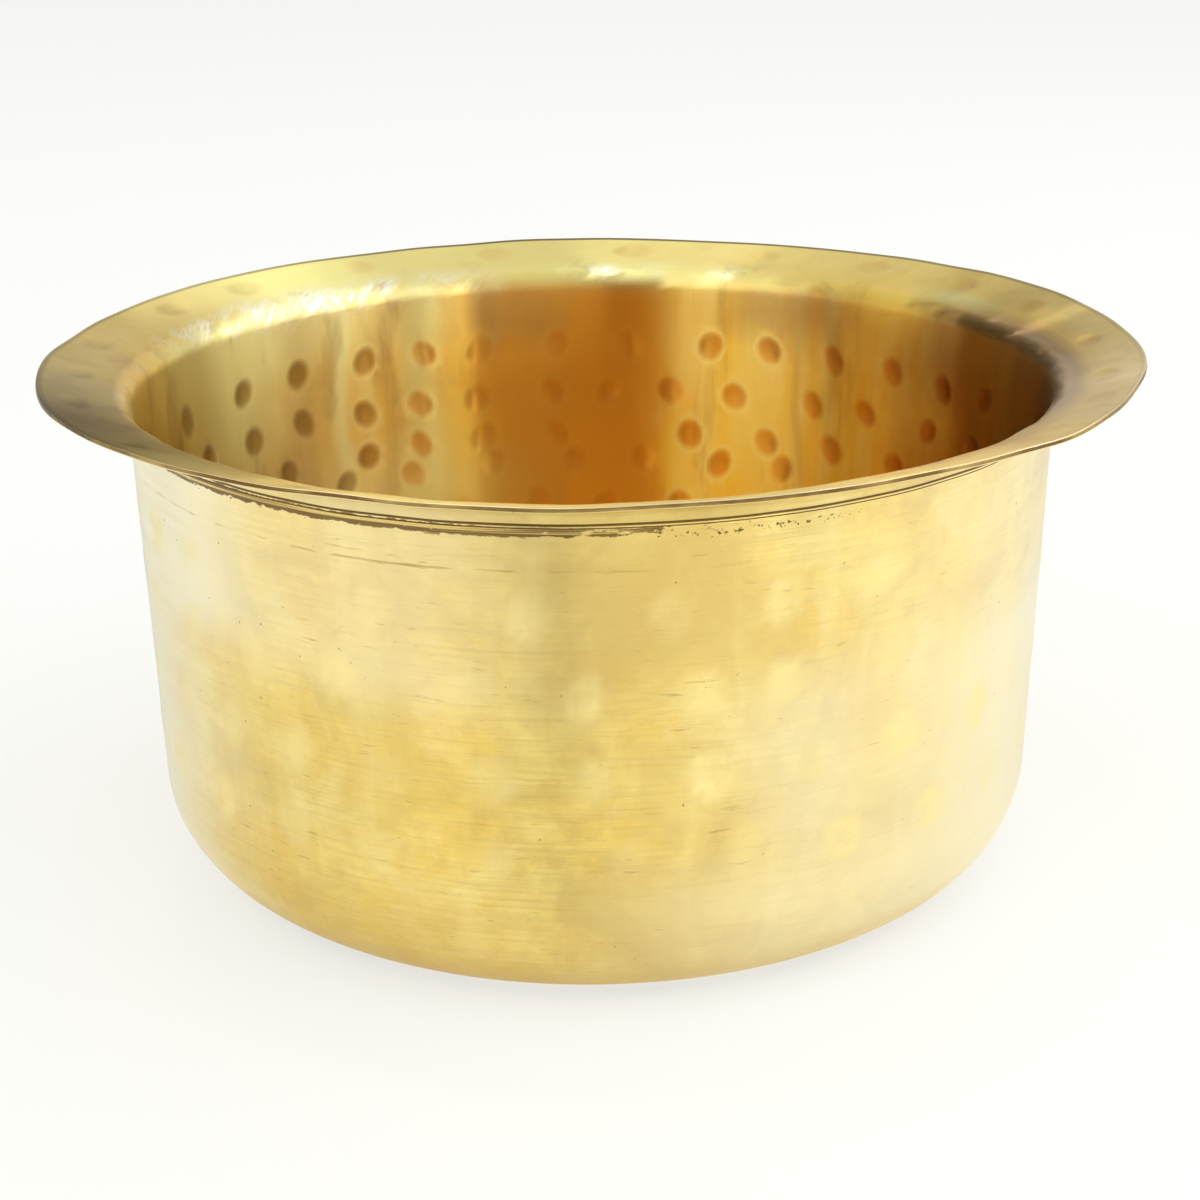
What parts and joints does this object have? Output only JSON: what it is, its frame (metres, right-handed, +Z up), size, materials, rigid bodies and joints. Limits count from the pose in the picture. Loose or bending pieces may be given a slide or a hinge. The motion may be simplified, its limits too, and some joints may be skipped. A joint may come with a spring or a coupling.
{
  "type": "cooking pot",
  "caption": "Round flat-bottomed brass cooking pot with a nearly straight wall, a wide turned-out rim and a hammered inside.",
  "frame": {"origin": "centre of the flat bottom, in the plane that the pot stands on", "axes": "+Z up along the pot's axis, -Y towards the viewer of the picture, +X to the viewer's right"},
  "size_m": [0.2382, 0.238, 0.1143],
  "materials": {
    "brass": "bare hammered brass: polished inside, satin with fine turning scratches outside"
  },
  "bodies": {
    "root": {"pot_body": "brass"}
  },
  "joints": []
}
